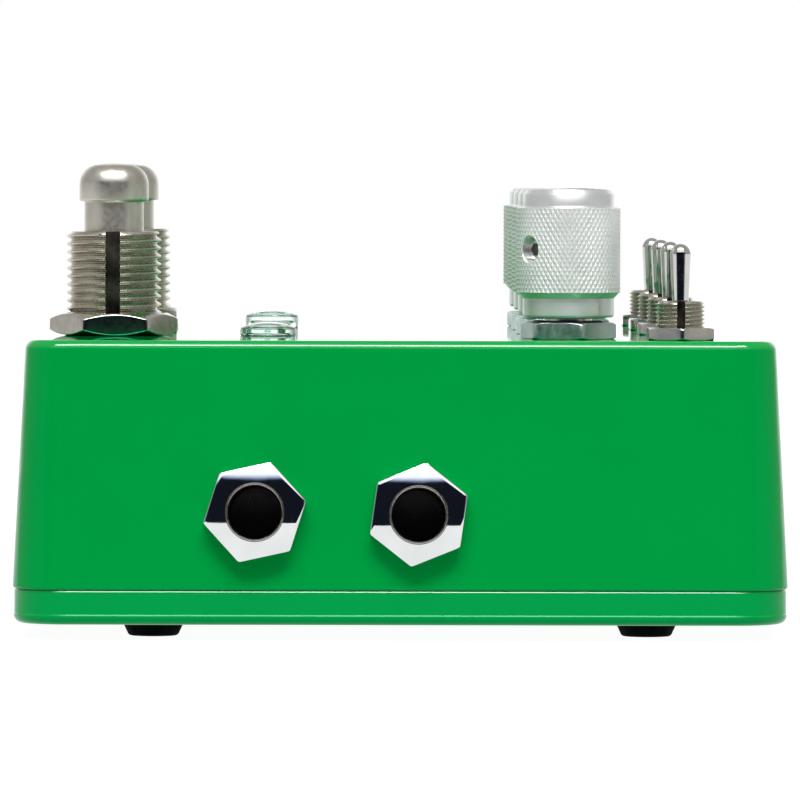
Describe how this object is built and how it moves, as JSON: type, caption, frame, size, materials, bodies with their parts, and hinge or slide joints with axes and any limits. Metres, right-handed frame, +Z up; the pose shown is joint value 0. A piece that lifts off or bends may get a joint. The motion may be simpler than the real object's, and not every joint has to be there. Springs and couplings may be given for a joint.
{
  "type": "guitar effects pedal",
  "caption": "Low diecast box pedal with press-down footswitches, clear status lenses, knurled knobs, small toggle switches and jack sockets in its end walls.",
  "frame": {"origin": "middle of the resting surface, under the rubber feet", "axes": "+X to the player's right, towards the right-hand jacks; +Y to the rear, away from the footswitches; +Z up"},
  "size_m": [0.1234, 0.094, 0.0576],
  "materials": {
    "green_paint": "high gloss enamel",
    "rubber": "matte",
    "steel_screw": "zinc plated",
    "nickel": "satin nickel plate",
    "nickel_nut": "nickel plate",
    "spring_steel": "plain",
    "tinned": "tinned",
    "wire_jacket": "insulated wire",
    "clear_lens": "clear acrylic",
    "led_clear": "water clear epoxy",
    "anodised": "satin anodised",
    "black_plastic": "moulded",
    "chrome": "polished",
    "jack_plastic": "moulded",
    "contact_brass": "plain",
    "board": "solder mask",
    "chip": "moulded",
    "capacitor": "sleeved"
  },
  "bodies": {
    "enclosure": {"board_capacitors": "capacitor", "board_chips": "chip", "bottom_lid": "green_paint", "enclosure_body": "green_paint", "footswitch_bushing_left": "nickel", "footswitch_bushing_right": "nickel", "footswitch_case_left": "black_plastic", "footswitch_case_right": "black_plastic", "footswitch_lugs": "tinned", "footswitch_nuts": "nickel_nut", "footswitch_spring_left": "spring_steel", "footswitch_spring_right": "spring_steel", "footswitch_washers": "steel_screw", "footswitch_wires": "wire_jacket", "jack_contacts": "contact_brass", "jack_housing_left_front": "jack_plastic", "jack_housing_left_rear": "jack_plastic", "jack_housing_right_front": "jack_plastic", "jack_housing_right_rear": "jack_plastic", "jack_nuts": "chrome", "jack_sleeves": "nickel", "led_lens_left": "clear_lens", "led_lens_right": "clear_lens", "lid_screws": "steel_screw", "main_board": "board", "pot_case_1": "black_plastic", "pot_case_2": "black_plastic", "pot_case_3": "black_plastic", "pot_case_4": "black_plastic", "pot_nuts": "steel_screw", "power_inlet_body": "black_plastic", "power_inlet_pin": "nickel", "rubber_feet": "rubber", "status_leds": "led_clear", "toggle_bushing_1": "nickel", "toggle_bushing_2": "nickel", "toggle_bushing_3": "nickel", "toggle_bushing_4": "nickel", "toggle_cases": "black_plastic", "toggle_nuts": "nickel_nut", "toggle_pins": "tinned"},
    "footswitch_button_left": {"footswitch_plunger_left": "nickel"},
    "footswitch_button_right": {"footswitch_plunger_right": "nickel"},
    "knob_body_1": {"knob_1": "anodised", "knob_set_screw_1": "steel_screw", "pot_shaft_1": "nickel"},
    "knob_body_2": {"knob_2": "anodised", "knob_set_screw_2": "steel_screw", "pot_shaft_2": "nickel"},
    "knob_body_3": {"knob_3": "anodised", "knob_set_screw_3": "steel_screw", "pot_shaft_3": "nickel"},
    "knob_body_4": {"knob_4": "anodised", "knob_set_screw_4": "steel_screw", "pot_shaft_4": "nickel"},
    "toggle_1": {"toggle_lever_1": "nickel"},
    "toggle_2": {"toggle_lever_2": "nickel"},
    "toggle_3": {"toggle_lever_3": "nickel"},
    "toggle_4": {"toggle_lever_4": "nickel"}
  },
  "joints": [
    {"name": "footswitch_press_left", "type": "slide", "parent": "enclosure", "child": "footswitch_button_left", "axis": [0, 0, 1], "range_m": [-0.0018, 0], "stiffness_N_per_m": 1200, "springref_m": 0.002, "deforming": ["footswitch_spring_left"]},
    {"name": "footswitch_press_right", "type": "slide", "parent": "enclosure", "child": "footswitch_button_right", "axis": [0, 0, 1], "range_m": [-0.0018, 0], "stiffness_N_per_m": 1200, "springref_m": 0.002, "deforming": ["footswitch_spring_right"]},
    {"name": "knob_turn_1", "type": "hinge", "parent": "enclosure", "child": "knob_body_1", "pos_m": [-0.042, 0.02055, 0.03875], "axis": [0, 0, 1], "range_deg": [-150, 150]},
    {"name": "knob_turn_2", "type": "hinge", "parent": "enclosure", "child": "knob_body_2", "pos_m": [-0.014, 0.02055, 0.03875], "axis": [0, 0, 1], "range_deg": [-150, 150]},
    {"name": "knob_turn_3", "type": "hinge", "parent": "enclosure", "child": "knob_body_3", "pos_m": [0.014, 0.02055, 0.03875], "axis": [0, 0, 1], "range_deg": [-150, 150]},
    {"name": "knob_turn_4", "type": "hinge", "parent": "enclosure", "child": "knob_body_4", "pos_m": [0.042, 0.02055, 0.03875], "axis": [0, 0, 1], "range_deg": [-150, 150]},
    {"name": "toggle_swing_1", "type": "hinge", "parent": "enclosure", "child": "toggle_1", "pos_m": [-0.048, 0.03405, 0.03775], "axis": [0, 1, 0], "range_deg": [-12, 12]},
    {"name": "toggle_swing_2", "type": "hinge", "parent": "enclosure", "child": "toggle_2", "pos_m": [-0.016, 0.03405, 0.03775], "axis": [0, 1, 0], "range_deg": [-12, 12]},
    {"name": "toggle_swing_3", "type": "hinge", "parent": "enclosure", "child": "toggle_3", "pos_m": [0.016, 0.03405, 0.03775], "axis": [0, 1, 0], "range_deg": [-12, 12]},
    {"name": "toggle_swing_4", "type": "hinge", "parent": "enclosure", "child": "toggle_4", "pos_m": [0.048, 0.03405, 0.03775], "axis": [0, 1, 0], "range_deg": [-12, 12]}
  ]
}
